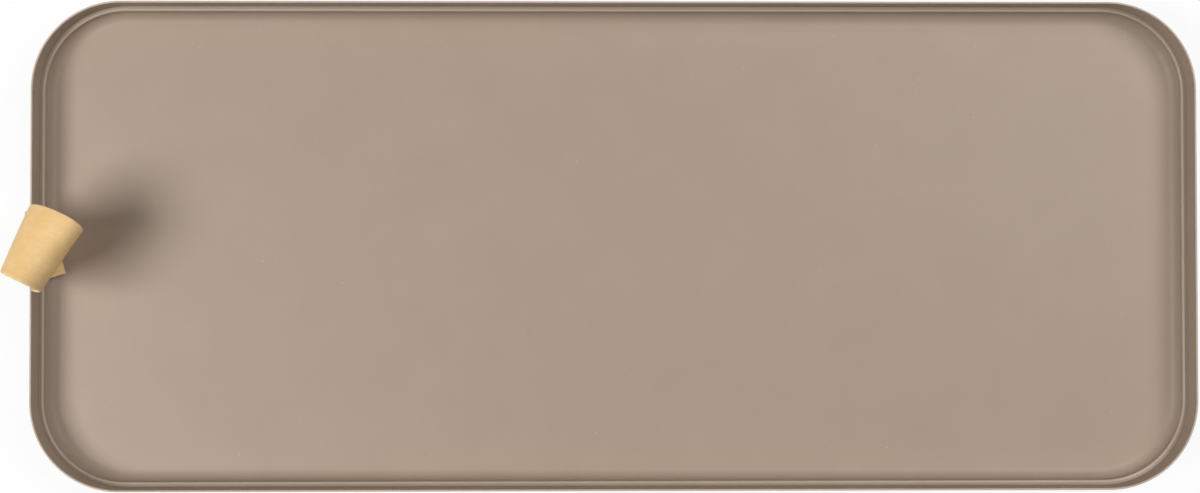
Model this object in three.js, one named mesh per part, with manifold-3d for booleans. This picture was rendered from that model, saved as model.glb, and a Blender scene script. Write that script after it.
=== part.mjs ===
// Decorative tray: a pressed steel tray with a stepped rim, a leather pull loop held by a
// two-piece binding screw through one short wall, and four rubber bumper feet.
// Millimetres, +Z up. The origin is the centre of the tray's floor, on its upper face.
import * as THREE from "three";
import { mergeVertices } from "three/addons/utils/BufferGeometryUtils.js";
import Module from "manifold-3d";

const wasm = await Module();
wasm.setup();

// Tray shell
const trayLength = 596;
const trayWidth = 250;
const cornerRadius = 45.5;
const sheet = 1;
const rimHeight = 19.2;
const shoulderHeight = 7.8;
const shoulderRun = 2.5;
const bendInsideRadius = 0.6;
const floorFillet = 6;
const cornerSteps = 14;
const filletSteps = 7;
const bendSteps = 4;
const rimSteps = 4;

// Fits
const clearance = 0.3;
const seatGap = 0.1;

// Leather strap
const strapWidth = 36.5;
const strapThickness = 1.8;
const tailLength = 13.4;
const outerTailLength = 9;
const tailBendInsideRadius = 2.1;
const tailBendAngle = THREE.MathUtils.degToRad(58);
const innerLean = THREE.MathUtils.degToRad(17);
const outerLean = THREE.MathUtils.degToRad(1);
const innerHoleOffset = -0.65;
const outerHoleOffset = -0.5;
const strapSteps = { tail: 9, leg: 14, arch: 8, across: 10 };

// The open loop above the rim, measured from the middle of the wall and from the floor
const loopRadius = 11.3;
const loopIn = 15.1;
const loopAlong = -2.2;
const loopHeight = 52.5;
const loopTurn = THREE.MathUtils.degToRad(24);
const loopTilt = THREE.MathUtils.degToRad(15.5);
const loopFlare = THREE.MathUtils.degToRad(9.3);
const loopTiltSpread = THREE.MathUtils.degToRad(9);
const crownTilt = THREE.MathUtils.degToRad(7);
const legPull = { innerRim: 0.25, innerBulge: 0.26, outerBulge: 0.58, outerRim: 0.22 };
const bendLineRadius = 5;

// Binding screw
const headRadius = 3.9;
const headThickness = 1.3;
const headChamfer = 0.4;
const barrelRadius = 2.5;
const shankRadius = 1.4;
const slotWidth = 1;
const slotDepth = 0.6;
const roundSteps = 32;

// Feet
const footRadius = 6;
const footTipRadius = 3.6;
const footHeight = 2;
const footSteps = 5;
const footInset = cornerRadius;

// Derived places
const wallX = -trayLength / 2 + sheet / 2;
const bendRadius = bendInsideRadius + sheet / 2;
const legOffset = sheet / 2 + clearance + strapThickness / 2;
const tailBendRadius = tailBendInsideRadius + strapThickness / 2;
const tailBendHeight = heightClearOfShoulder();
const screwHeight = tailBendHeight + seatGap + headRadius;
const holeRadius = barrelRadius + clearance;
const headFace = legOffset + strapThickness / 2 + seatGap;
const gripLength = 2 * headFace;
const barrelLength = gripLength - clearance;
const shankLength = gripLength - seatGap - clearance;

const finish = {
  paint: new THREE.MeshStandardMaterial({ color: 0xab9a8a, roughness: 0.6, metalness: 0.1 }),
  leather: new THREE.MeshStandardMaterial({ color: 0xe6bd80, roughness: 0.65, metalness: 0 }),
  brass: new THREE.MeshStandardMaterial({ color: 0xc9a45c, roughness: 0.35, metalness: 1 }),
  rubber: new THREE.MeshStandardMaterial({ color: 0x2b2a29, roughness: 0.85, metalness: 0 }),
};

// Height at which the strap's tail starts to bend inwards so that its back clears the shoulder.
function heightClearOfShoulder() {
  const backRadius = tailBendRadius + strapThickness / 2;
  const tailCentre = sheet + clearance + backRadius;
  const shoulderCentre = sheet / 2 + shoulderRun - bendRadius;
  const across = tailCentre - shoulderCentre;
  const apart = backRadius + bendRadius + sheet / 2 + clearance;
  const shoulderCentreHeight = shoulderHeight - sheet / 2 - bendRadius;
  return shoulderCentreHeight + Math.sqrt(apart * apart - across * across);
}

function geometryFrom(points, triangles) {
  const geometry = new THREE.BufferGeometry();
  geometry.setAttribute("position", new THREE.Float32BufferAttribute(points.flat(), 3));
  geometry.setIndex(triangles.flat());
  return geometry;
}

// Welds the vertices, drops the empty triangles on a revolve's axis and turns the faces outwards.
function closed(source) {
  const bare = new THREE.BufferGeometry();
  bare.setAttribute("position", source.getAttribute("position"));
  bare.setIndex(source.getIndex());
  const welded = mergeVertices(bare, 1e-4);
  const place = welded.getAttribute("position");
  const index = welded.getIndex().array;
  const corner = (i) => new THREE.Vector3().fromBufferAttribute(place, i);
  const triangles = [];
  let volume = 0;
  for (let i = 0; i < index.length; i += 3) {
    const [a, b, c] = [index[i], index[i + 1], index[i + 2]];
    if (a === b || b === c || c === a) continue;
    triangles.push([a, b, c]);
    volume += corner(a).dot(corner(b).cross(corner(c)));
  }
  const outward = volume > 0 ? triangles : triangles.map(([a, b, c]) => [a, c, b]);
  welded.setIndex(outward.flat());
  return welded;
}

function toManifold(source) {
  const geometry = closed(source);
  return new wasm.Manifold(
    new wasm.Mesh({
      numProp: 3,
      vertProperties: new Float32Array(geometry.getAttribute("position").array),
      triVerts: new Uint32Array(geometry.getIndex().array),
    }),
  );
}

function toGeometry(manifold) {
  const mesh = manifold.getMesh();
  const geometry = new THREE.BufferGeometry();
  geometry.setAttribute("position", new THREE.BufferAttribute(mesh.vertProperties, 3));
  geometry.setIndex(new THREE.BufferAttribute(mesh.triVerts, 1));
  return geometry;
}

function node(name, geometry, material) {
  geometry.computeVertexNormals();
  const mesh = new THREE.Mesh(geometry, material);
  mesh.name = name;
  return mesh;
}

// Shell section: the sheet's centre line in (outward, up), from the floor's edge to the rim
function sheetCentreLine() {
  const floorLevel = -sheet / 2;
  const shoulderLevel = shoulderHeight - sheet / 2;
  const upperWall = -sheet / 2;
  const lowerWall = upperWall - shoulderRun;
  const filletRadius = floorFillet + sheet / 2;
  const corners = [
    { at: [lowerWall, floorLevel], radius: filletRadius, steps: filletSteps },
    { at: [lowerWall, shoulderLevel], radius: bendRadius, steps: bendSteps },
    { at: [upperWall, shoulderLevel], radius: bendRadius, steps: bendSteps },
  ];
  const start = [lowerWall - filletRadius, floorLevel];
  const end = [upperWall, rimHeight - sheet / 2];
  return bentLine(start, corners, end);
}

// A line with rounded corners, as points that each carry the unit normal on the line's left.
function bentLine(start, corners, end) {
  const stations = [start, ...corners.map((c) => c.at), end].map((p) => new THREE.Vector2(...p));
  const line = [];
  corners.forEach(({ radius, steps }, i) => {
    const inward = stations[i + 1].clone().sub(stations[i]).normalize();
    const outward = stations[i + 2].clone().sub(stations[i + 1]).normalize();
    const turn = Math.atan2(inward.cross(outward), inward.dot(outward));
    const side = Math.sign(turn);
    const entry = stations[i + 1].clone().addScaledVector(inward, -radius * Math.tan(Math.abs(turn) / 2));
    const left = new THREE.Vector2(-inward.y, inward.x);
    const centre = entry.clone().addScaledVector(left, side * radius);
    for (let k = 0; k <= steps; k++) {
      const normal = left.clone().rotateAround(new THREE.Vector2(), (turn * k) / steps);
      line.push({ point: centre.clone().addScaledVector(normal, -side * radius), normal });
    }
  });
  const last = line[line.length - 1].normal;
  line.push({ point: stations[stations.length - 1], normal: last });
  return line;
}

// Closed section of the sheet: up the inner skin, round the rim's edge and down the outer skin
function shellSection() {
  const line = sheetCentreLine();
  const skin = (side) => line.map(({ point, normal }) => point.clone().addScaledVector(normal, side));
  const edge = line[line.length - 1].point;
  const rim = [];
  for (let i = 1; i < rimSteps; i++) {
    const angle = Math.PI * (1 - i / rimSteps);
    rim.push(new THREE.Vector2(Math.cos(angle), Math.sin(angle)).multiplyScalar(sheet / 2).add(edge));
  }
  return [...skin(sheet / 2), ...rim, ...skin(-sheet / 2).reverse()];
}

// One ring of the tray's outline, moved outwards by the given amount (negative is inwards).
function outlineRing(outwards, height) {
  const ring = [];
  const turns = [[1, 1], [-1, 1], [-1, -1], [1, -1]];
  turns.forEach(([signX, signY], quarter) => {
    const centreX = signX * (trayLength / 2 - cornerRadius);
    const centreY = signY * (trayWidth / 2 - cornerRadius);
    for (let i = 0; i <= cornerSteps; i++) {
      const angle = (quarter + i / cornerSteps) * (Math.PI / 2);
      const reach = cornerRadius + outwards;
      ring.push([centreX + reach * Math.cos(angle), centreY + reach * Math.sin(angle), height]);
    }
  });
  return ring;
}

function trayShell() {
  const rings = shellSection().map((p) => outlineRing(p.x, p.y));
  const count = rings[0].length;
  const points = rings.flat();
  const triangles = [];
  for (let r = 0; r + 1 < rings.length; r++) {
    for (let i = 0; i < count; i++) {
      const next = (i + 1) % count;
      const [a, aNext] = [r * count + i, r * count + next];
      const [b, bNext] = [a + count, aNext + count];
      triangles.push([a, b, bNext], [a, bNext, aNext]);
    }
  }
  const floorCentre = points.push([0, 0, 0]) - 1;
  const undersideCentre = points.push([0, 0, -sheet]) - 1;
  const lastRing = (rings.length - 1) * count;
  for (let i = 0; i < count; i++) {
    const next = (i + 1) % count;
    triangles.push([floorCentre, i, next]);
    triangles.push([undersideCentre, lastRing + next, lastRing + i]);
  }
  const shell = toManifold(geometryFrom(points, triangles));
  return toGeometry(shell.subtract(screwHole()));
}

function screwHole() {
  const drill = new THREE.CylinderGeometry(holeRadius, holeRadius, strapWidth, roundSteps);
  drill.rotateZ(Math.PI / 2);
  drill.translate(wallX, 0, screwHeight);
  return toManifold(drill);
}

// Strap: the mid surface of one leather strip, in (inwards, along, up) from the wall's middle

// A point of the inner tail, bent inwards over the shoulder below the screw head.
function bentTail(along, height) {
  const depth = Math.max(tailBendHeight - height, 0);
  const angle = Math.min(depth / tailBendRadius, tailBendAngle);
  const straight = depth - angle * tailBendRadius;
  const inwards = tailBendRadius * (1 - Math.cos(angle)) + straight * Math.sin(angle);
  const drop = tailBendRadius * Math.sin(angle) + straight * Math.cos(angle);
  return new THREE.Vector3(legOffset + inwards, along, Math.max(height, tailBendHeight) - drop);
}

// A strip that leans in the wall's plane: where its edge or centre crosses the rim, and where it ends
function leaningStrip(across, lean, length) {
  const rise = rimHeight - screwHeight;
  const atRim = [across / Math.cos(lean) - rise * Math.tan(lean), rimHeight];
  const atEnd = [
    across * Math.cos(lean) + length * Math.sin(lean),
    screwHeight + across * Math.sin(lean) - length * Math.cos(lean),
  ];
  const up = new THREE.Vector3(0, -Math.sin(lean), Math.cos(lean));
  return { atRim, atEnd, up };
}

// Direction across the strap where the loop is turned about the vertical and tilted
function acrossLoop(turn, tilt) {
  return new THREE.Vector3(
    Math.sin(turn) * Math.cos(tilt),
    Math.cos(turn) * Math.cos(tilt),
    -Math.sin(tilt),
  );
}

// The strap's centre line or any line beside it, from the inner tail's end over the loop to the outer
// tail's end. The across value is the distance from the strap's centre line.
function strapLine(across) {
  const inner = leaningStrip(across + innerHoleOffset, innerLean, tailLength);
  const outer = leaningStrip(across + outerHoleOffset, outerLean, outerTailLength);
  const chord = new THREE.Vector3(Math.cos(loopTurn), -Math.sin(loopTurn), 0);
  const crownShare = across / (strapWidth / 2);
  const rise = chord.clone().cross(acrossLoop(loopTurn, loopTilt + crownTilt * crownShare));
  const centre = new THREE.Vector3(loopIn, loopAlong, loopHeight);
  const innerBulge = centre.clone().addScaledVector(chord, loopRadius);
  innerBulge.addScaledVector(acrossLoop(loopTurn + loopFlare, loopTilt - loopTiltSpread), across);
  const outerBulge = centre.clone().addScaledVector(chord, -loopRadius);
  outerBulge.addScaledVector(acrossLoop(loopTurn - loopFlare, loopTilt + loopTiltSpread), across);
  const halfChord = innerBulge.distanceTo(outerBulge) / 2;
  const top = innerBulge.clone().add(outerBulge).multiplyScalar(0.5).addScaledVector(rise, loopRadius);
  const overTop = outerBulge.clone().sub(innerBulge).normalize();
  const innerRim = new THREE.Vector3(legOffset, ...inner.atRim);
  const outerRim = new THREE.Vector3(-legOffset, ...outer.atRim);
  const quarter = 0.5523;
  const innerReach = innerRim.distanceTo(innerBulge);
  const outerReach = outerRim.distanceTo(outerBulge);
  const bezier = (from, leave, arrive, to) => new THREE.CubicBezierCurve3(from, leave, arrive, to);
  const beside = (point, direction, length) => point.clone().addScaledVector(direction, length);
  const runs = [
    [bezier(
      innerRim,
      beside(innerRim, inner.up, legPull.innerRim * innerReach),
      beside(innerBulge, rise, -legPull.innerBulge * innerReach),
      innerBulge,
    ), strapSteps.leg],
    [bezier(
      innerBulge,
      beside(innerBulge, rise, quarter * loopRadius),
      beside(top, overTop, -quarter * halfChord),
      top,
    ), strapSteps.arch],
    [bezier(
      top,
      beside(top, overTop, quarter * halfChord),
      beside(outerBulge, rise, quarter * loopRadius),
      outerBulge,
    ), strapSteps.arch],
    [bezier(
      outerBulge,
      beside(outerBulge, rise, -legPull.outerBulge * outerReach),
      beside(outerRim, outer.up, legPull.outerRim * outerReach),
      outerRim,
    ), strapSteps.leg],
  ];
  const mix = (from, to, share) => from.map((value, i) => value + (to[i] - value) * share);
  const line = [];
  for (let i = 0; i < strapSteps.tail; i++) {
    line.push(bentTail(...mix(inner.atEnd, inner.atRim, i / strapSteps.tail)));
  }
  for (const [run, steps] of runs) {
    for (let i = 0; i < steps; i++) line.push(run.getPoint(i / steps));
  }
  for (let i = 0; i <= strapSteps.tail; i++) {
    const flat = mix(outer.atRim, outer.atEnd, i / strapSteps.tail);
    line.push(new THREE.Vector3(-legOffset, ...flat));
  }
  return line;
}

// A stretch of the strip as one solid: both faces lie half the thickness off the mid surface. The
// stretch runs between two shares of the strip's rows.
function strapStrip(fromShare, toShare) {
  const lines = [];
  for (let j = 0; j <= strapSteps.across; j++) {
    lines.push(strapLine(strapWidth * (j / strapSteps.across - 0.5)));
  }
  const allRows = lines[0].length;
  const firstRow = Math.round((allRows - 1) * fromShare);
  const rows = Math.round((allRows - 1) * toShare) - firstRow + 1;
  const columns = lines.length;
  const within = (value, count) => Math.min(Math.max(value, 0), count - 1);
  const at = (i, j) => lines[within(j, columns)][within(i, allRows)];
  const points = [];
  for (const side of [1, -1]) {
    for (let i = firstRow; i < firstRow + rows; i++) {
      for (let j = 0; j < columns; j++) {
        const forward = at(i + 1, j).clone().sub(at(i - 1, j));
        const sideways = at(i, j + 1).clone().sub(at(i, j - 1));
        const normal = forward.cross(sideways).normalize();
        const face = at(i, j).clone().addScaledVector(normal, (side * strapThickness) / 2);
        points.push([wallX + face.x, face.y, face.z]);
      }
    }
  }
  const id = (layer, i, j) => (layer * rows + i) * columns + j;
  const triangles = [];
  const quad = (a, b, c, d) => triangles.push([a, b, c], [a, c, d]);
  for (let i = 0; i + 1 < rows; i++) {
    for (let j = 0; j + 1 < columns; j++) {
      quad(id(0, i, j), id(0, i + 1, j), id(0, i + 1, j + 1), id(0, i, j + 1));
      quad(id(1, i, j), id(1, i, j + 1), id(1, i + 1, j + 1), id(1, i + 1, j));
    }
    const last = columns - 1;
    quad(id(0, i, 0), id(1, i, 0), id(1, i + 1, 0), id(0, i + 1, 0));
    quad(id(0, i, last), id(0, i + 1, last), id(1, i + 1, last), id(1, i, last));
  }
  for (let j = 0; j + 1 < columns; j++) {
    const end = rows - 1;
    quad(id(0, 0, j), id(0, 0, j + 1), id(1, 0, j + 1), id(1, 0, j));
    quad(id(0, end, j), id(1, end, j), id(1, end, j + 1), id(0, end, j + 1));
  }
  return toManifold(geometryFrom(points, triangles));
}

// A roller along the rim, round which the loop folds on its ends.
function bendRoller(radius) {
  const roller = new THREE.CylinderGeometry(radius, radius, 2 * strapWidth, roundSteps);
  roller.translate(wallX, 0, rimHeight);
  return toManifold(roller);
}

// All the space below the rim.
function belowRim() {
  const reach = 3 * strapWidth;
  const block = new THREE.BoxGeometry(reach, reach, reach);
  block.translate(wallX, 0, rimHeight - reach / 2);
  return toManifold(block);
}

// The strip, cut at the bend line into the loop and its two ends
function strapPieces() {
  const loop = strapStrip(0, 1).subtract(bendRoller(bendLineRadius + clearance)).subtract(belowRim());
  const held = bendRoller(bendLineRadius).add(belowRim()).subtract(screwHole());
  return [
    node("strap_loop", toGeometry(loop), finish.leather),
    node("strap_inner_end", toGeometry(strapStrip(0, 0.5).intersect(held)), finish.leather),
    node("strap_outer_end", toGeometry(strapStrip(0.5, 1).intersect(held)), finish.leather),
  ];
}

// A revolve about the screw's axis. Each profile pair is a radius and a distance from the head's face
// towards the wall, and the side is 1 inside the tray and -1 outside it.
function screwRevolve(profile, side) {
  const points = profile.map(([radius, depth]) => new THREE.Vector2(radius, depth));
  const turned = new THREE.LatheGeometry(points, roundSteps);
  turned.rotateZ((side * Math.PI) / 2);
  turned.translate(wallX + side * (headFace + headThickness), 0, screwHeight);
  return closed(turned);
}

function screwPost() {
  const boreRadius = shankRadius + clearance;
  const boreStart = headThickness + seatGap;
  const profile = [
    [0, 0],
    [headRadius - headChamfer, 0],
    [headRadius, headChamfer],
    [headRadius, headThickness],
    [barrelRadius, headThickness],
    [barrelRadius, headThickness + barrelLength],
    [boreRadius, headThickness + barrelLength],
    [boreRadius, boreStart],
    [0, boreStart],
  ];
  return node("screw_post", screwRevolve(profile, -1), finish.brass);
}

function screwCap() {
  const profile = [
    [0, 0],
    [headRadius - headChamfer, 0],
    [headRadius, headChamfer],
    [headRadius, headThickness],
    [shankRadius, headThickness],
    [shankRadius, headThickness + shankLength],
    [0, headThickness + shankLength],
  ];
  const slot = new THREE.BoxGeometry(2 * slotDepth, 3 * headRadius, slotWidth);
  slot.translate(wallX + headFace + headThickness, 0, screwHeight);
  const slotted = toManifold(screwRevolve(profile, 1)).subtract(toManifold(slot));
  return node("screw_cap", toGeometry(slotted), finish.brass);
}

// A domed bumper with a flat tip, stuck to the underside with its flat back.
function foot(name, signX, signY) {
  const profile = [new THREE.Vector2(0, 0)];
  for (let i = 0; i <= footSteps; i++) {
    const angle = (i / footSteps) * (Math.PI / 2);
    const radius = footTipRadius + (footRadius - footTipRadius) * Math.cos(angle);
    profile.push(new THREE.Vector2(radius, -footHeight * Math.sin(angle)));
  }
  profile.push(new THREE.Vector2(0, -footHeight));
  const turned = new THREE.LatheGeometry(profile, roundSteps);
  turned.rotateX(Math.PI / 2);
  const placeX = signX * (trayLength / 2 - footInset);
  const placeY = signY * (trayWidth / 2 - footInset);
  turned.translate(placeX, placeY, -sheet);
  return node(name, closed(turned), finish.rubber);
}

const tray = new THREE.Group();
tray.name = "decorative_tray";
tray.add(node("tray_shell", trayShell(), finish.paint));
tray.add(...strapPieces());
tray.add(screwPost(), screwCap());
tray.add(foot("foot_front_left", -1, -1));
tray.add(foot("foot_front_right", 1, -1));
tray.add(foot("foot_back_left", -1, 1));
tray.add(foot("foot_back_right", 1, 1));

export default tray;
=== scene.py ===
# Dressed model of a long decorative tray: a powder-coated steel tray with a stepped rim, a natural
# leather pull loop held by a brass binding screw, and four rubber bumper feet.
import math

import bpy
from mathutils import Matrix, Vector, noise


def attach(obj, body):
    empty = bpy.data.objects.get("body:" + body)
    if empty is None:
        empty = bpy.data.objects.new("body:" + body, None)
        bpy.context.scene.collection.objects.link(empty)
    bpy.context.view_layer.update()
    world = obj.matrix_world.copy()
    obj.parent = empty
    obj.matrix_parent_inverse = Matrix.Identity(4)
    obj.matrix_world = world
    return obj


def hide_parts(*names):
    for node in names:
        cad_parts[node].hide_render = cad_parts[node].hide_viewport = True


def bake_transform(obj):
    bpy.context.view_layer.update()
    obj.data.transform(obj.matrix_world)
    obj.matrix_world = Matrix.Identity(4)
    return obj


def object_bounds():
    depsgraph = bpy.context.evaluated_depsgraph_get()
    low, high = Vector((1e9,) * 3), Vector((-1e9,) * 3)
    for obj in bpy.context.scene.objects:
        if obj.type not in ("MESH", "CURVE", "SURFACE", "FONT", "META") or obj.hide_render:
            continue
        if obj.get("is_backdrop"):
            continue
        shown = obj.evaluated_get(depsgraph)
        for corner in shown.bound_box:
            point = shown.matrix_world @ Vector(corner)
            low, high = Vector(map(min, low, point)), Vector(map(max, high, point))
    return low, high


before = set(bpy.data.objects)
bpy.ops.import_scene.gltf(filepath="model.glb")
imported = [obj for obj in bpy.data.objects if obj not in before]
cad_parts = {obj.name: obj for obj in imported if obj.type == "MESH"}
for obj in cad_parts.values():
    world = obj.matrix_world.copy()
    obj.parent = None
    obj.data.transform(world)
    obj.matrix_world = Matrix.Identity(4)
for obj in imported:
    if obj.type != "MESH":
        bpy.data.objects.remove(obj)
cad_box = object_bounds()

# Sizes in millimetres, the same as in the part's source
MM = 0.001
TRAY_LENGTH = 596
TRAY_WIDTH = 250
CORNER_RADIUS = 45.5
SHEET = 1
RIM_HEIGHT = 19.2
SHOULDER_HEIGHT = 7.8
SHOULDER_RUN = 2.5
BEND_INSIDE_RADIUS = 0.6
FLOOR_FILLET = 6
CLEARANCE = 0.3
SEAT_GAP = 0.1
STRAP_WIDTH = 36.5
STRAP_THICKNESS = 1.8
TAIL_LENGTH = 13.4
OUTER_TAIL_LENGTH = 9
TAIL_BEND_INSIDE_RADIUS = 2.1
TAIL_BEND_ANGLE = math.radians(58)
INNER_LEAN = math.radians(17)
OUTER_LEAN = math.radians(1)
INNER_HOLE_OFFSET = -0.65
OUTER_HOLE_OFFSET = -0.5
LOOP_RADIUS = 11.3
LOOP_IN = 15.1
LOOP_ALONG = -2.2
LOOP_HEIGHT = 52.5
LOOP_TURN = math.radians(24)
LOOP_TILT = math.radians(15.5)
LOOP_FLARE = math.radians(9.3)
LOOP_TILT_SPREAD = math.radians(9)
CROWN_TILT = math.radians(7)
INNER_RIM_PULL = 0.25
INNER_BULGE_PULL = 0.26
OUTER_BULGE_PULL = 0.58
OUTER_RIM_PULL = 0.22
HEAD_RADIUS = 3.9
HEAD_THICKNESS = 1.3
BARREL_RADIUS = 2.5
SHANK_RADIUS = 1.4
SLOT_WIDTH = 1
SLOT_DEPTH = 0.6
FOOT_RADIUS = 6
FOOT_TIP_RADIUS = 3.6
FOOT_HEIGHT = 2

# Inside radius of the shoulder's bends where the paint shows them, crisper than the solid's
CRISP_BEND = 0.25

# Fullness of the loop's crown, where a circle has 0.55
ARCH_PULL = 0.62

# The strap's edges: their rounding, with the shares of it that get points, and the pressed crease
EDGE_ROUND = 0.8
END_SHARES = (0, 0.08, 0.3, 0.62, 1)
EDGE_CREASE = 1.4
CREASE_HALF_WIDTH = 0.2

# Unevenness of the hand-cut strap, which starts and eases in at a distance from its ends
WAVE_HEIGHT = 0.22
WAVE_ALONG = 17
WAVE_ACROSS = 13
WAVE_LAYER = 4.2
WAVE_START = 24
WAVE_EASING = 12

# Small forms of the turned screw and the moulded feet
HEAD_CROWN = 0.35
HEAD_EDGE_ROUND = 0.35
HEAD_CHAMFER = 0.1
BARREL_CHAMFER = 0.2
THREAD_DEPTH = 0.12
THREAD_RUNOUT = 0.5
THREAD_TURNS = 8
SHANK_TIP_LENGTH = 0.3
SHANK_TIP_INSET = 0.4
FOOT_SKIRT = 0.15
AXIS_GAP = 0.05
TURNED_SHARP = math.radians(35)
MOULDED_SHARP = math.radians(40)

# Steps of the meshes
FILLET_STEPS = 16
BEND_STEPS = 8
RIM_STEPS = 8
CORNER_STEPS = 36
TAIL_STEPS = 26
LEG_STEPS = 40
ARCH_STEPS = 30
ACROSS_STEPS = 36
EDGE_STEPS = 5
SCREW_STEPS = 96
CROWN_STEPS = 9
HEAD_EDGE_STEPS = 6
FOOT_STEPS = 64
FOOT_DOME_STEPS = 12

# Derived places
WALL_X = -TRAY_LENGTH / 2 + SHEET / 2
BEND_RADIUS = BEND_INSIDE_RADIUS + SHEET / 2
LEG_OFFSET = SHEET / 2 + CLEARANCE + STRAP_THICKNESS / 2
TAIL_BEND_RADIUS = TAIL_BEND_INSIDE_RADIUS + STRAP_THICKNESS / 2
HEAD_FACE = LEG_OFFSET + STRAP_THICKNESS / 2 + SEAT_GAP
GRIP_LENGTH = 2 * HEAD_FACE
BARREL_LENGTH = GRIP_LENGTH - CLEARANCE
SHANK_LENGTH = GRIP_LENGTH - SEAT_GAP - CLEARANCE
FOOT_TIP_RING = 0.6 * FOOT_TIP_RADIUS
STAGE_LEVEL = -SHEET - FOOT_HEIGHT


def height_clear_of_shoulder():
    """Height at which the strap's inner tail starts to bend inwards over the shoulder."""
    back_radius = TAIL_BEND_RADIUS + STRAP_THICKNESS / 2
    tail_centre = SHEET + CLEARANCE + back_radius
    shoulder_centre = SHEET / 2 + SHOULDER_RUN - BEND_RADIUS
    across = tail_centre - shoulder_centre
    apart = back_radius + BEND_RADIUS + SHEET / 2 + CLEARANCE
    shoulder_centre_height = SHOULDER_HEIGHT - SHEET / 2 - BEND_RADIUS
    return shoulder_centre_height + math.sqrt(apart * apart - across * across)


TAIL_BEND_HEIGHT = height_clear_of_shoulder()
SCREW_HEIGHT = TAIL_BEND_HEIGHT + SEAT_GAP + HEAD_RADIUS


# Mesh helpers

def mesh_object(name, points, faces, sharp_angle=None):
    """A smooth-shaded mesh object from points in millimetres."""
    mesh = bpy.data.meshes.new(name)
    mesh.from_pydata([Vector(p) * MM for p in points], [], faces)
    mesh.validate()
    mesh.polygons.foreach_set("use_smooth", [True] * len(mesh.polygons))
    if sharp_angle is not None:
        mesh.set_sharp_from_angle(angle=sharp_angle)
    piece = bpy.data.objects.new(name, mesh)
    bpy.context.scene.collection.objects.link(piece)
    return piece


def arc(centre, radius, start, end, steps):
    """Points of an arc in a section plane, angles in radians."""
    points = []
    for i in range(steps + 1):
        angle = start + (end - start) * i / steps
        points.append((centre[0] + radius * math.cos(angle), centre[1] + radius * math.sin(angle)))
    return points


def ring_faces(rings, count, flipped=False):
    """Faces between closed rings of points that follow each other, with a cap at each end."""
    faces = []
    for ring in range(rings - 1):
        for i in range(count):
            a = ring * count + i
            b = ring * count + (i + 1) % count
            faces.append((a, b, b + count, a + count))
    faces.append(tuple(reversed(range(count))))
    faces.append(tuple((rings - 1) * count + i for i in range(count)))
    if flipped:
        return [(first, *reversed(rest)) for first, *rest in faces]
    return faces


# Materials

class Shader:
    """A node material with one Principled shader, and short calls to add nodes to it."""

    def __init__(self, name, **sockets):
        self.material = bpy.data.materials.new(name)
        self.material.use_nodes = True
        self.tree = self.material.node_tree
        self.surface = self.tree.nodes["Principled BSDF"]
        for socket, value in sockets.items():
            self.surface.inputs[socket.replace("_", " ")].default_value = value

    def feed(self, socket, value):
        """Links another node's output to a socket, or sets the socket to a constant."""
        if isinstance(value, bpy.types.NodeSocket):
            self.tree.links.new(value, socket)
        else:
            socket.default_value = value

    def node(self, kind, settings=None, **inputs):
        made = self.tree.nodes.new(kind)
        for name, value in (settings or {}).items():
            setattr(made, name, value)
        for name, value in inputs.items():
            self.feed(made.inputs[name.replace("_", " ")], value)
        return made

    def calculate(self, operation, *values, clamp=False):
        made = self.node("ShaderNodeMath", {"operation": operation, "use_clamp": clamp})
        for socket, value in enumerate(values):
            self.feed(made.inputs[socket], value)
        return made.outputs[0]

    def sum(self, *weighted):
        """Adds up values, each with its own weight."""
        parts = [self.calculate("MULTIPLY", value, weight) for value, weight in weighted]
        total = parts[0]
        for part in parts[1:]:
            total = self.calculate("ADD", total, part)
        return total

    def place(self, source, scale=(1, 1, 1), offset=(0, 0, 0)):
        coordinates = self.node("ShaderNodeTexCoord").outputs[source]
        mapped = self.node("ShaderNodeMapping", Vector=coordinates, Scale=scale, Location=offset)
        return mapped.outputs["Vector"]

    def noise(self, vector, scale, detail=2.0, roughness=0.5):
        made = self.node("ShaderNodeTexNoise", Vector=vector, Scale=scale, Detail=detail)
        self.feed(made.inputs["Roughness"], roughness)
        return made.outputs["Fac"]

    def spread(self, value, low, high, to_low=0.0, to_high=1.0):
        """Carries the range from low to high over to another range, and stops at its ends."""
        made = self.node("ShaderNodeMapRange", Value=value, From_Min=low, From_Max=high)
        self.feed(made.inputs["To Min"], to_low)
        self.feed(made.inputs["To Max"], to_high)
        return made.outputs["Result"]

    def mix(self, share, first, second):
        made = self.node("ShaderNodeMix", {"data_type": "RGBA"})
        for socket, value in ((0, share), (6, first), (7, second)):
            self.feed(made.inputs[socket], value)
        return made.outputs[2]

    def finish(self, colour, roughness=None, height=None, depth=0.0001, strength=1.0):
        """Connects the surface, with the bump's depth in metres, and returns the material."""
        self.feed(self.surface.inputs["Base Color"], colour)
        if roughness is not None:
            self.feed(self.surface.inputs["Roughness"], roughness)
        if height is not None:
            bump = self.node("ShaderNodeBump", Height=height, Strength=strength, Distance=depth)
            self.feed(self.surface.inputs["Normal"], bump.outputs["Normal"])
        return self.material


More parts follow.
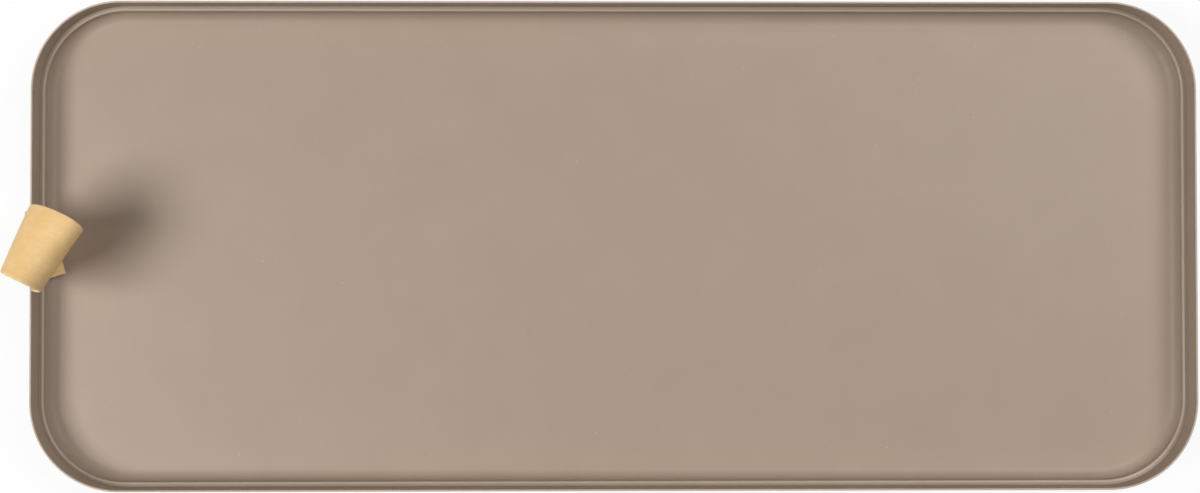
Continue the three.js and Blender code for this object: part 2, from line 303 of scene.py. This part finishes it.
def powder_coat():
    """Matt warm grey-brown powder coat: fine grain, faint mottling, a few tiny specks, a painted
    highlight on crisp bends and on the rim's edge, and painted shade in crisp creases."""
    mottle_dark = (0.385, 0.300, 0.232, 1)
    mottle_pale = (0.404, 0.316, 0.246, 1)
    speck_pale = (0.49, 0.39, 0.31, 1)
    grain_dark = (0.340, 0.262, 0.199, 1)
    # Colour of the painted highlight on crisp bends and on the rim's edge
    painted_highlight_pale = (0.62, 0.51, 0.42, 1)
    # Colour of the painted shade in crisp creases
    painted_crease_shade = (0.20, 0.155, 0.12, 1)
    shader = Shader("powder_coat", Specular_IOR_Level=0.3)
    vector = shader.place("Object")
    grain = shader.noise(vector, scale=1500, detail=3)
    peel = shader.noise(vector, scale=420)
    mottle = shader.noise(vector, scale=26, detail=4, roughness=0.6)
    tone = shader.mix(shader.spread(mottle, 0.3, 0.7), mottle_dark, mottle_pale)
    cells = shader.node("ShaderNodeTexVoronoi", Vector=vector, Scale=170.0)
    near = shader.spread(cells.outputs["Distance"], 0.05, 0.09, 1.0, 0.0)
    rare = shader.spread(shader.noise(vector, scale=61, detail=0), 0.62, 0.68)
    tone = shader.mix(shader.calculate("MULTIPLY", near, rare), tone, speck_pale)
    tone = shader.mix(shader.spread(grain, 0.3, 0.7, 0.0, 0.35), tone, grain_dark)
    # Amount of painted light that the tray's mesh carries for each point of its section
    painted_bend_light = shader.node("ShaderNodeAttribute", {"attribute_name": "painted_bend_light"}).outputs["Fac"]
    # Painted highlight on crisp bends and on the rim's edge, where the amount is positive
    tone = shader.mix(shader.spread(painted_bend_light, 0.0, 0.7, 0.0, 0.62), tone, painted_highlight_pale)
    # Painted shade in crisp creases, where the amount is negative
    tone = shader.mix(shader.spread(painted_bend_light, -0.7, -0.2, 0.7, 0.0), tone, painted_crease_shade)
    rough = shader.spread(grain, 0.3, 0.7, 0.42, 0.54)
    height = shader.sum((grain, 0.6), (peel, 0.8))
    return shader.finish(tone, rough, height, depth=0.00004, strength=0.55)


def edge_crease(shader, vector):
    """Strength of the crease that is pressed along the strap's edges, at a place on the strap."""
    sideways = shader.node("ShaderNodeSeparateXYZ", Vector=vector).outputs["Y"]
    off_centre = shader.calculate("ABSOLUTE", sideways)
    middle = (STRAP_WIDTH / 2 - EDGE_CREASE) * MM
    half_width = CREASE_HALF_WIDTH * MM
    rising = shader.spread(off_centre, middle - half_width, middle)
    falling = shader.spread(off_centre, middle, middle + half_width, 0.5, 0.0)
    return shader.calculate("MULTIPLY", rising, falling)


def leather_grain():
    """The strap's smooth face: pale tan with faint streaks, blotches, pores and darker creases."""
    blotch_dark = (0.830, 0.540, 0.232, 1)
    blotch_pale = (0.890, 0.630, 0.310, 1)
    streak_dark = (0.770, 0.480, 0.195, 1)
    pore_dark = (0.52, 0.29, 0.11, 1)
    crease_dark = (0.60, 0.36, 0.14, 1)
    shader = Shader("leather_grain", Specular_IOR_Level=0.4)
    vector = shader.place("UV")
    along = shader.place("UV", scale=(0.18, 1, 1))
    blotch = shader.spread(shader.noise(vector, scale=95, detail=3, roughness=0.6), 0.35, 0.68)
    streak = shader.spread(shader.noise(along, scale=900, detail=3, roughness=0.65), 0.35, 0.7)
    pores = shader.node("ShaderNodeTexVoronoi", Vector=vector, Scale=1500.0).outputs["Distance"]
    wrinkle = shader.noise(vector, scale=700, detail=4, roughness=0.6)
    tone = shader.mix(blotch, blotch_dark, blotch_pale)
    tone = shader.mix(shader.spread(streak, 0, 1, 0, 0.35), tone, streak_dark)
    tone = shader.mix(shader.spread(pores, 0.0, 0.22, 0.3, 0.0), tone, pore_dark)
    tone = shader.mix(edge_crease(shader, vector), tone, crease_dark)
    rough = shader.spread(wrinkle, 0.3, 0.7, 0.46, 0.62)
    height = shader.sum((pores, 0.5), (wrinkle, 1.0), (streak, 0.3))
    return shader.finish(tone, rough, height, depth=0.00006, strength=0.5)


def leather_flesh():
    """The strap's back: a duller, fibrous suede."""
    cloud_dark = (0.640, 0.430, 0.215, 1)
    cloud_pale = (0.760, 0.560, 0.330, 1)
    fibre_dark = (0.50, 0.32, 0.15, 1)
    shader = Shader("leather_flesh", Roughness=0.92, Specular_IOR_Level=0.15, Sheen_Weight=0.25)
    along = shader.place("UV", scale=(0.5, 1, 1))
    fibre = shader.noise(along, scale=1600, detail=5, roughness=0.7)
    cloud = shader.noise(shader.place("UV"), scale=130, detail=4, roughness=0.65)
    tone = shader.mix(shader.spread(cloud, 0.3, 0.7), cloud_dark, cloud_pale)
    tone = shader.mix(shader.spread(fibre, 0.35, 0.75, 0.0, 0.5), tone, fibre_dark)
    return shader.finish(tone, height=fibre, depth=0.00018, strength=0.8)


def leather_edge():
    """The strap's cut edge: pale layered fibres with darker burnished flecks."""
    layer_dark = (0.860, 0.600, 0.300, 1)
    layer_pale = (0.940, 0.720, 0.410, 1)
    fleck_dark = (0.62, 0.38, 0.17, 1)
    shader = Shader("leather_edge", Specular_IOR_Level=0.3)
    along = shader.place("UV", scale=(0.25, 1, 1))
    layers = shader.noise(along, scale=2600, detail=4, roughness=0.65)
    fleck = shader.noise(shader.place("UV"), scale=420, detail=3, roughness=0.6)
    tone = shader.mix(shader.spread(layers, 0.35, 0.7), layer_dark, layer_pale)
    tone = shader.mix(shader.spread(fleck, 0.45, 0.75, 0.0, 0.35), tone, fleck_dark)
    rough = shader.spread(layers, 0.3, 0.7, 0.55, 0.75)
    return shader.finish(tone, rough, layers, depth=0.00008, strength=0.6)


def turned_brass():
    """Satin brass with fine turning rings about the screw's axis."""
    bright = (0.780, 0.560, 0.245, 1)
    tarnished = (0.560, 0.370, 0.150, 1)
    shader = Shader("turned_brass", Metallic=1.0)
    centred = shader.place("Object", offset=(0, 0, -SCREW_HEIGHT * MM))
    rings = shader.node(
        "ShaderNodeTexWave",
        {"wave_type": "RINGS", "rings_direction": "X"},
        Vector=centred,
        Scale=1500.0,
        Distortion=1.5,
    ).outputs["Fac"]
    tarnish = shader.spread(shader.noise(centred, scale=480, detail=4, roughness=0.6), 0.4, 0.75)
    tone = shader.mix(tarnish, bright, tarnished)
    rough = shader.sum((rings, 0.10), (tarnish, 0.28), (shader.noise(centred, scale=60), 0.3))
    return shader.finish(tone, rough, rings, depth=0.00002, strength=0.35)


def bumper_rubber():
    """Dark soft rubber with a dusty bloom."""
    dark = (0.018, 0.017, 0.016, 1)
    dusty = (0.052, 0.049, 0.046, 1)
    shader = Shader("bumper_rubber", Specular_IOR_Level=0.3)
    vector = shader.place("Object")
    dust = shader.spread(shader.noise(vector, scale=520, detail=4, roughness=0.65), 0.4, 0.75)
    tone = shader.mix(dust, dark, dusty)
    rough = shader.spread(dust, 0, 1, 0.62, 0.88)
    height = shader.noise(vector, scale=2400, detail=3)
    return shader.finish(tone, rough, height, depth=0.00005, strength=0.5)


def stage_white():
    """White that partly glows where the camera or a reflection sees it, and still takes shadows."""
    glow_share = 0.9
    shader = Shader("stage_white", Roughness=0.9, Specular_IOR_Level=0.1)
    glow = shader.node("ShaderNodeEmission", Color=(1, 1, 1, 1), Strength=1.0)
    rays = shader.node("ShaderNodeLightPath").outputs
    mirrored = shader.calculate("ADD", rays["Is Glossy Ray"], rays["Is Transmission Ray"], clamp=True)
    seen = shader.calculate("ADD", rays["Is Camera Ray"], mirrored, clamp=True)
    mixed = shader.node("ShaderNodeMixShader")
    shader.feed(mixed.inputs[0], shader.calculate("MULTIPLY", seen, glow_share))
    shader.feed(mixed.inputs[1], shader.surface.outputs[0])
    shader.feed(mixed.inputs[2], glow.outputs[0])
    shader.feed(shader.tree.nodes["Material Output"].inputs["Surface"], mixed.outputs[0])
    return shader.finish((0.86, 0.86, 0.86, 1))


# Tray body

def bent_line(start, corners, end):
    """A line with rounded corners, as points that each carry the unit normal on the line's left and
    how sharply the line bends to that side there."""
    stations = [Vector(start)] + [Vector(c[0]) for c in corners] + [Vector(end)]
    line = []
    for i, (_, radius, steps) in enumerate(corners):
        arriving = (stations[i + 1] - stations[i]).normalized()
        leaving = (stations[i + 2] - stations[i + 1]).normalized()
        turn = math.atan2(arriving.cross(leaving), arriving.dot(leaving))
        side = math.copysign(1, turn)
        entry = stations[i + 1] - arriving * radius * math.tan(abs(turn) / 2)
        left = Vector((-arriving.y, arriving.x))
        centre = entry + left * side * radius
        for k in range(steps + 1):
            normal = Matrix.Rotation(turn * k / steps, 2) @ left
            bend = side * math.sin(math.pi * k / steps) / radius
            line.append((centre - normal * side * radius, normal, bend))
    line.append((stations[-1], line[-1][1], 0))
    return line


def shell_section():
    """The sheet's closed section, from the floor over the rim to the underside, as points in
    (outwards, up) that each carry an amount of painted light: 1 for a painted highlight on a crisp
    bend, -1 for painted shade in a crisp crease."""
    floor_level = -SHEET / 2
    shoulder_level = SHOULDER_HEIGHT - SHEET / 2
    upper_wall = -SHEET / 2
    lower_wall = upper_wall - SHOULDER_RUN
    bend_radius = CRISP_BEND + SHEET / 2
    fillet_radius = FLOOR_FILLET + SHEET / 2
    line = bent_line(
        (lower_wall - fillet_radius, floor_level),
        [
            ((lower_wall, floor_level), fillet_radius, FILLET_STEPS),
            ((lower_wall, shoulder_level), bend_radius, BEND_STEPS),
            ((upper_wall, shoulder_level), bend_radius, BEND_STEPS),
        ],
        (upper_wall, RIM_HEIGHT - SHEET / 2),
    )
    # Painted light amounts: a painted highlight where a face bends outwards, painted shade where it
    # bends inwards
    inner = [(point + normal * SHEET / 2, -bend * bend_radius) for point, normal, bend in line]
    outer = [(point - normal * SHEET / 2, bend * bend_radius) for point, normal, bend in reversed(line)]
    # The rim's rounded top edge gets a painted highlight, strongest at its top
    round_edge = arc(line[-1][0], SHEET / 2, math.pi, 0, RIM_STEPS)[1:-1]
    edge = [(point, math.sin(math.pi * k / RIM_STEPS)) for k, point in enumerate(round_edge, 1)]
    flat = Vector((2 * FLOOR_FILLET, 0))
    return [(inner[0][0] - flat, 0), *inner, *edge, *outer, (outer[-1][0] - flat, 0)]


def outline_ring(outwards, height):
    """One ring of the tray's outline, moved outwards by the given amount."""
    ring = []
    for quarter, (sign_x, sign_y) in enumerate(((1, 1), (-1, 1), (-1, -1), (1, -1))):
        centre_x = sign_x * (TRAY_LENGTH / 2 - CORNER_RADIUS)
        centre_y = sign_y * (TRAY_WIDTH / 2 - CORNER_RADIUS)
        radius = CORNER_RADIUS + outwards
        start = quarter * math.pi / 2
        corner = arc((centre_x, centre_y), radius, start, start + math.pi / 2, CORNER_STEPS)
        ring += [(x, y, height) for x, y in corner]
    return ring


def tray_body(material):
    section = shell_section()
    rings = [outline_ring(*point) for point, _ in section]
    count = len(rings[0])
    points = [p for ring in rings for p in ring]
    piece = mesh_object("tray_body", points, ring_faces(len(rings), count, flipped=True))
    # The mesh carries each section point's amount of painted highlight and painted shade
    painted_bend_light = piece.data.attributes.new("painted_bend_light", "FLOAT", "POINT")
    painted_bend_light.data.foreach_set("value", [amount for _, amount in section for _ in range(count)])
    piece.data.materials.append(material)
    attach(piece, "tray")
    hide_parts("tray_shell")


# Leather strap, as (inwards, along, up) from the wall's middle

def bent_tail(along, height):
    """A point of the inner tail, bent inwards over the shoulder below the screw head."""
    depth = max(TAIL_BEND_HEIGHT - height, 0)
    angle = min(depth / TAIL_BEND_RADIUS, TAIL_BEND_ANGLE)
    straight = depth - angle * TAIL_BEND_RADIUS
    inwards = TAIL_BEND_RADIUS * (1 - math.cos(angle)) + straight * math.sin(angle)
    drop = TAIL_BEND_RADIUS * math.sin(angle) + straight * math.cos(angle)
    return Vector((LEG_OFFSET + inwards, along, max(height, TAIL_BEND_HEIGHT) - drop))


def leaning_strip(across, lean, length):
    """Where a line of a strip that leans in the wall's plane crosses the rim, ends and points."""
    rise = RIM_HEIGHT - SCREW_HEIGHT
    at_rim = Vector((across / math.cos(lean) - rise * math.tan(lean), RIM_HEIGHT))
    at_end = Vector((
        across * math.cos(lean) + length * math.sin(lean),
        SCREW_HEIGHT + across * math.sin(lean) - length * math.cos(lean),
    ))
    return at_rim, at_end, Vector((0, -math.sin(lean), math.cos(lean)))


def across_loop(turn, tilt):
    """Direction across the strap where the loop is turned about the vertical and tilted."""
    level = math.cos(tilt)
    return Vector((math.sin(turn) * level, math.cos(turn) * level, -math.sin(tilt)))


def bezier(start, leave, arrive, end, share):
    rest = 1 - share
    outer = start * rest ** 3 + end * share ** 3
    return outer + leave * (3 * rest * rest * share) + arrive * (3 * rest * share * share)


def tail_shares(length):
    """Shares along a tail from its end, with close steps where the end is rounded off."""
    rounded = [EDGE_ROUND * s / length for s in END_SHARES]
    first = rounded[-1]
    return rounded + [first + (1 - first) * i / TAIL_STEPS for i in range(1, TAIL_STEPS)]


def loop_runs(across, inner_foot, inner_up, outer_foot, outer_up):
    """The loop's four curves beside its centre line, each with its steps: up the inner leg, over the
    crown in two halves and down the outer leg."""
    chord = Vector((math.cos(LOOP_TURN), -math.sin(LOOP_TURN), 0))
    crown_share = across / (STRAP_WIDTH / 2)
    rise = chord.cross(across_loop(LOOP_TURN, LOOP_TILT + CROWN_TILT * crown_share))
    centre = Vector((LOOP_IN, LOOP_ALONG, LOOP_HEIGHT))
    inner_across = across_loop(LOOP_TURN + LOOP_FLARE, LOOP_TILT - LOOP_TILT_SPREAD)
    outer_across = across_loop(LOOP_TURN - LOOP_FLARE, LOOP_TILT + LOOP_TILT_SPREAD)
    inner_bulge = centre + chord * LOOP_RADIUS + inner_across * across
    outer_bulge = centre - chord * LOOP_RADIUS + outer_across * across
    top = (inner_bulge + outer_bulge) / 2 + rise * LOOP_RADIUS
    arch = rise * ARCH_PULL * LOOP_RADIUS
    crown = (outer_bulge - inner_bulge) / 2 * ARCH_PULL
    inner_reach = (inner_foot - inner_bulge).length
    outer_reach = (outer_foot - outer_bulge).length
    inner_leave = inner_foot + inner_up * INNER_RIM_PULL * inner_reach
    inner_arrive = inner_bulge - rise * INNER_BULGE_PULL * inner_reach
    outer_leave = outer_bulge - rise * OUTER_BULGE_PULL * outer_reach
    outer_arrive = outer_foot + outer_up * OUTER_RIM_PULL * outer_reach
    return (
        ((inner_foot, inner_leave, inner_arrive, inner_bulge), LEG_STEPS),
        ((inner_bulge, inner_bulge + arch, top - crown, top), ARCH_STEPS),
        ((top, top + crown, outer_bulge + arch, outer_bulge), ARCH_STEPS),
        ((outer_bulge, outer_leave, outer_arrive, outer_foot), LEG_STEPS),
    )


def strap_line(across):
    """A line of the strip's mid surface beside its centre line, from tail end to tail end."""
    inner_rim, inner_end, inner_up = leaning_strip(across + INNER_HOLE_OFFSET, INNER_LEAN, TAIL_LENGTH)
    outer_rim, outer_end, outer_up = leaning_strip(
        across + OUTER_HOLE_OFFSET, OUTER_LEAN, OUTER_TAIL_LENGTH
    )
    inner_foot = Vector((LEG_OFFSET, *inner_rim))
    outer_foot = Vector((-LEG_OFFSET, *outer_rim))
    line = [bent_tail(*inner_end.lerp(inner_rim, s)) for s in tail_shares(TAIL_LENGTH)]
    for run, steps in loop_runs(across, inner_foot, inner_up, outer_foot, outer_up):
        line += [bezier(*run, i / steps) for i in range(steps)]
    outer_tail = [outer_end.lerp(outer_rim, s) for s in tail_shares(OUTER_TAIL_LENGTH)]
    line += [Vector((-LEG_OFFSET, *p)) for p in [outer_rim, *reversed(outer_tail)]]
    return line


def strap_section():
    """The strip's closed section as (across, off the mid surface), with rounded edges: the flesh on
    the plus side, the grain on the minus side."""
    half_width, half_thick = STRAP_WIDTH / 2, STRAP_THICKNESS / 2
    reach, depth = half_width - EDGE_ROUND, half_thick - EDGE_ROUND
    quarter = math.pi / 2
    face = [reach * (2 * i / ACROSS_STEPS - 1) for i in range(1, ACROSS_STEPS)]
    flesh = [(a, half_thick) for a in face]
    grain = [(a, -half_thick) for a in reversed(face)]
    corners = [
        arc((reach, depth), EDGE_ROUND, quarter, 0, EDGE_STEPS),
        arc((reach, -depth), EDGE_ROUND, 0, -quarter, EDGE_STEPS),
        arc((-reach, -depth), EDGE_ROUND, -quarter, -2 * quarter, EDGE_STEPS),
        arc((-reach, depth), EDGE_ROUND, 2 * quarter, quarter, EDGE_STEPS),
    ]
    return flesh + corners[0] + corners[1] + grain + corners[2] + corners[3]


def end_inset(row, rows):
    """How much the strip's faces draw in where its two ends are rounded off."""
    from_end = min(row, rows - 1 - row)
    if from_end >= len(END_SHARES):
        return 0.0
    return EDGE_ROUND * (1 - math.sqrt(1 - (1 - END_SHARES[from_end]) ** 2))


def hand_cut_wave(along, length, across):
    """Slight unevenness of a strip that was cut and folded by hand, none where it is clamped."""
    from_end = min(along, length - along)
    free = min(max((from_end - WAVE_START) / WAVE_EASING, 0), 1)
    place = Vector((along / WAVE_ALONG, across / WAVE_ACROSS, WAVE_LAYER))
    return WAVE_HEIGHT * free * noise.noise(place)


def strap_points(section):
    """The strip's points, row by row along it, and each point's place on the leather in metres."""
    digits = 6
    columns = sorted({round(across, digits) for across, _ in section})
    lines = {across: strap_line(across) for across in columns}
    centre_line = strap_line(0)
    rows = len(centre_line)
    lengths = [0.0]
    for previous, point in zip(centre_line, centre_line[1:]):
        lengths.append(lengths[-1] + (point - previous).length)
    points = []
    texture_places = []
    for i in range(rows):
        before, after = max(i - 1, 0), min(i + 1, rows - 1)
        drawn_in = end_inset(i, rows)
        for across, off in section:
            here = columns.index(round(across, digits))
            left = columns[max(here - 1, 0)]
            right = columns[min(here + 1, len(columns) - 1)]
            line = lines[columns[here]]
            forward = line[after] - line[before]
            sideways = lines[right][i] - lines[left][i]
            normal = forward.cross(sideways).normalized()
            height = math.copysign(max(abs(off) - drawn_in, 0), off)
            height += hand_cut_wave(lengths[i], lengths[-1], across)
            point = line[i] + normal * height
            points.append((WALL_X + point.x, point.y, point.z))
            texture_places.append((lengths[i] * MM, (across + off) * MM))
    return points, texture_places


def dress_strap(mesh, section, texture_places, materials):
    """Gives the strip's grain side, its flesh side and its cut edges their own leather."""
    grain_side, flesh_side, cut_edge = range(3)
    for material in materials:
        mesh.materials.append(material)
    layer = mesh.uv_layers.new(name="strip")
    for loop in mesh.loops:
        layer.data[loop.index].uv = texture_places[loop.vertex_index]
    nearly_all = 0.99
    face_height = nearly_all * STRAP_THICKNESS / 2
    for polygon in mesh.polygons:
        offs = [section[v % len(section)][1] for v in polygon.vertices]
        middle = sum(offs) / len(offs)
        if middle > face_height:
            polygon.material_index = flesh_side
        elif middle < -face_height:
            polygon.material_index = grain_side
        else:
            polygon.material_index = cut_edge


def leather_strap(grain, flesh, edge):
    section = strap_section()
    points, texture_places = strap_points(section)
    count = len(section)
    piece = mesh_object("leather_strap", points, ring_faces(len(points) // count, count))
    dress_strap(piece.data, section, texture_places, (grain, flesh, edge))
    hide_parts("strap_loop", "strap_inner_end", "strap_outer_end")
    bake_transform(piece)


# Binding screw

def revolve(profile, place, steps):
    """Points and faces of a revolve. Each profile pair is a radius and a depth; place puts them."""
    points = []
    for radius, depth in profile:
        for k in range(steps):
            angle = 2 * math.pi * k / steps
            points.append(place(radius * math.cos(angle), radius * math.sin(angle), depth))
    return points, ring_faces(len(profile), steps)


def domed_head():
    """The head's profile from near the axis: a low dome, a rounded rim and a flat seat."""
    dome_radius = HEAD_RADIUS - HEAD_EDGE_ROUND
    profile = []
    for i in range(1, CROWN_STEPS + 1):
        share = i / CROWN_STEPS
        profile.append((dome_radius * share, HEAD_CROWN * share * share))
    for i in range(1, HEAD_EDGE_STEPS + 1):
        angle = math.pi / 2 * i / HEAD_EDGE_STEPS
        radius = dome_radius + HEAD_EDGE_ROUND * math.sin(angle)
        profile.append((radius, HEAD_CROWN + HEAD_EDGE_ROUND * (1 - math.cos(angle))))
    profile.append((HEAD_RADIUS, HEAD_THICKNESS - HEAD_CHAMFER))
    profile.append((HEAD_RADIUS - HEAD_CHAMFER, HEAD_THICKNESS))
    return profile


def post_barrel():
    """The post's hollow barrel, from its head to the floor of its bore."""
    bore_radius = SHANK_RADIUS + CLEARANCE
    bore_floor = HEAD_THICKNESS + SEAT_GAP
    tip = HEAD_THICKNESS + BARREL_LENGTH
    return [
        (BARREL_RADIUS, HEAD_THICKNESS),
        (BARREL_RADIUS, tip - BARREL_CHAMFER),
        (BARREL_RADIUS - BARREL_CHAMFER, tip),
        (bore_radius, tip),
        (bore_radius, bore_floor),
        (AXIS_GAP, bore_floor),
    ]


def cap_shank():
    """The cap's shank with its thread as rings, from the head to the tip."""
    root = SHANK_RADIUS - THREAD_DEPTH
    pitch = (SHANK_LENGTH - 2 * THREAD_RUNOUT) / THREAD_TURNS
    end = HEAD_THICKNESS + SHANK_LENGTH
    profile = [(root, HEAD_THICKNESS)]
    for i in range(THREAD_TURNS):
        base = HEAD_THICKNESS + THREAD_RUNOUT + pitch * i
        profile += [(root, base), (SHANK_RADIUS, base + pitch / 2)]
    profile.append((root, end - SHANK_TIP_LENGTH))
    profile.append((SHANK_RADIUS - SHANK_TIP_INSET, end))
    profile.append((AXIS_GAP, end))
    return profile


def screw_piece(name, profile, side, material):
    """A revolve about the screw's axis. The side is 1 inside the tray and -1 outside it."""
    face = WALL_X + side * (HEAD_FACE + HEAD_THICKNESS)

    def place(u, v, depth):
        return (face - side * depth, side * u, SCREW_HEIGHT + v)

    points, faces = revolve(profile, place, SCREW_STEPS)
    piece = mesh_object(name, points, faces, TURNED_SHARP)
    piece.data.materials.append(material)
    return piece


def cut_slot(piece):
    """Cuts the driver slot across the cap's head."""
    x = WALL_X + HEAD_FACE + HEAD_THICKNESS
    low = Vector((x - SLOT_DEPTH, -2 * HEAD_RADIUS, SCREW_HEIGHT - SLOT_WIDTH / 2))
    high = Vector((x + SLOT_DEPTH, 2 * HEAD_RADIUS, SCREW_HEIGHT + SLOT_WIDTH / 2))
    corners = [(a, b, c) for a in (low.x, high.x) for b in (low.y, high.y) for c in (low.z, high.z)]
    sides = [(0, 1, 3, 2), (4, 6, 7, 5), (0, 4, 5, 1), (2, 3, 7, 6), (0, 2, 6, 4), (1, 5, 7, 3)]
    cutter = mesh_object("slot_cutter", corners, sides)
    modifier = piece.modifiers.new("slot", "BOOLEAN")
    modifier.object = cutter
    modifier.operation = "DIFFERENCE"
    modifier.solver = "EXACT"
    evaluated = piece.evaluated_get(bpy.context.evaluated_depsgraph_get())
    slotted = bpy.data.meshes.new_from_object(evaluated)
    piece.modifiers.clear()
    piece.data = slotted
    slotted.set_sharp_from_angle(angle=TURNED_SHARP)
    bpy.data.objects.remove(cutter)


def binding_screw(material):
    outside, inside = -1, 1
    post = screw_piece("screw_post_brass", domed_head() + post_barrel(), outside, material)
    cap = screw_piece("screw_cap_brass", domed_head() + cap_shank(), inside, material)
    cut_slot(cap)
    for piece, node in ((post, "screw_post"), (cap, "screw_cap")):
        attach(piece, "tray")
        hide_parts(node)


# Feet

def foot(node, sign_x, sign_y, material):
    """A domed bumper under a corner's centre, with a flat tip."""
    x = sign_x * (TRAY_LENGTH / 2 - CORNER_RADIUS)
    y = sign_y * (TRAY_WIDTH / 2 - CORNER_RADIUS)
    profile = [(AXIS_GAP, 0), (FOOT_RADIUS - FOOT_SKIRT, 0), (FOOT_RADIUS, FOOT_SKIRT)]
    for i in range(1, FOOT_DOME_STEPS + 1):
        angle = math.pi / 2 * i / FOOT_DOME_STEPS
        radius = FOOT_TIP_RADIUS + (FOOT_RADIUS - FOOT_TIP_RADIUS) * math.cos(angle)
        profile.append((radius, FOOT_SKIRT + (FOOT_HEIGHT - FOOT_SKIRT) * math.sin(angle)))
    profile += [(FOOT_TIP_RING, FOOT_HEIGHT), (AXIS_GAP, FOOT_HEIGHT)]

    def place(u, v, depth):
        return (x + u, y - v, -SHEET - depth)

    points, faces = revolve(profile, place, FOOT_STEPS)
    piece = mesh_object(node + "_rubber", points, faces, MOULDED_SHARP)
    piece.data.materials.append(material)
    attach(piece, "tray")
    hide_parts(node)


# Stage, light and camera

def stage_floor(material):
    """A white sheet under the tray that keeps a soft shadow."""
    reach = 4000
    sides = ((-reach, -reach), (reach, -reach), (reach, reach), (-reach, reach))
    floor = mesh_object("stage_floor", [(x, y, STAGE_LEVEL) for x, y in sides], [(0, 1, 2, 3)])
    floor.data.materials.append(material)
    floor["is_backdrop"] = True


def studio_world(ambient):
    """A white background for the camera that gives only a little light."""
    world = bpy.data.worlds.new("studio")
    bpy.context.scene.world = world
    world.use_nodes = True
    tree = world.node_tree
    background = tree.nodes["Background"]
    background.inputs["Color"].default_value = (1, 1, 1, 1)
    path = tree.nodes.new("ShaderNodeLightPath")
    level = tree.nodes.new("ShaderNodeMapRange")
    level.inputs["To Min"].default_value = ambient
    level.inputs["To Max"].default_value = 1.0
    tree.links.new(path.outputs["Is Camera Ray"], level.inputs["Value"])
    tree.links.new(level.outputs["Result"], background.inputs["Strength"])


def softbox(name, place, target, size, power):
    """A flat lamp, placed and aimed in metres."""
    lamp = bpy.data.lights.new(name, "AREA")
    lamp.shape = "RECTANGLE"
    lamp.size, lamp.size_y = size
    lamp.energy = power
    holder = bpy.data.objects.new(name, lamp)
    bpy.context.scene.collection.objects.link(holder)
    holder.location = place
    holder.rotation_euler = (Vector(place) - Vector(target)).to_track_quat("Z", "Y").to_euler()


def camera_above():
    """A camera high over the tray that looks down, tilted a little to the back and to the right."""
    image_width, image_height = 1200, 493
    height_over_rim = 815
    stands_over = (-22.1, -5.3)
    pixel_below = (572.8, 256)
    pixel_size = 0.5101
    tilt_back, tilt_right, roll = math.radians(0.97), math.radians(0.67), math.radians(-0.04)
    focal = height_over_rim / pixel_size
    axis_x = pixel_below[0] + focal * math.tan(tilt_right)
    axis_y = pixel_below[1] - focal * math.tan(tilt_back)
    lens_data = bpy.data.cameras.new("camera")
    lens_data.sensor_width = 36
    lens_data.lens = lens_data.sensor_width * focal / image_width
    lens_data.shift_x = (image_width / 2 - axis_x) / image_width
    lens_data.shift_y = (axis_y - image_height / 2) / image_width
    camera = bpy.data.objects.new("camera", lens_data)
    bpy.context.scene.collection.objects.link(camera)
    camera.location = Vector((*stands_over, RIM_HEIGHT + height_over_rim)) * MM
    camera.rotation_euler = (tilt_back, -tilt_right, roll)
    bpy.context.scene.camera = camera


tray_body(powder_coat())
leather_strap(leather_grain(), leather_flesh(), leather_edge())
binding_screw(turned_brass())
rubber = bumper_rubber()
for row, sign_y in (("front", -1), ("back", 1)):
    for end, sign_x in (("left", -1), ("right", 1)):
        foot(f"foot_{row}_{end}", sign_x, sign_y, rubber)
stage_floor(stage_white())
studio_world(ambient=0.02)
softbox("key", place=(-1.1, -0.31, 1.44), target=(-0.285, 0, 0.03), size=(0.9, 0.76), power=25)
softbox("fill", place=(0.9, 0.45, 1.35), target=(0.1, 0, 0), size=(0.9, 0.9), power=17)
camera_above()
bpy.context.scene.view_settings.view_transform = "Standard"

boxes = {"cad": cad_box, "visual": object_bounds()}
{name: [list(corner) for corner in box] for name, box in boxes.items()}
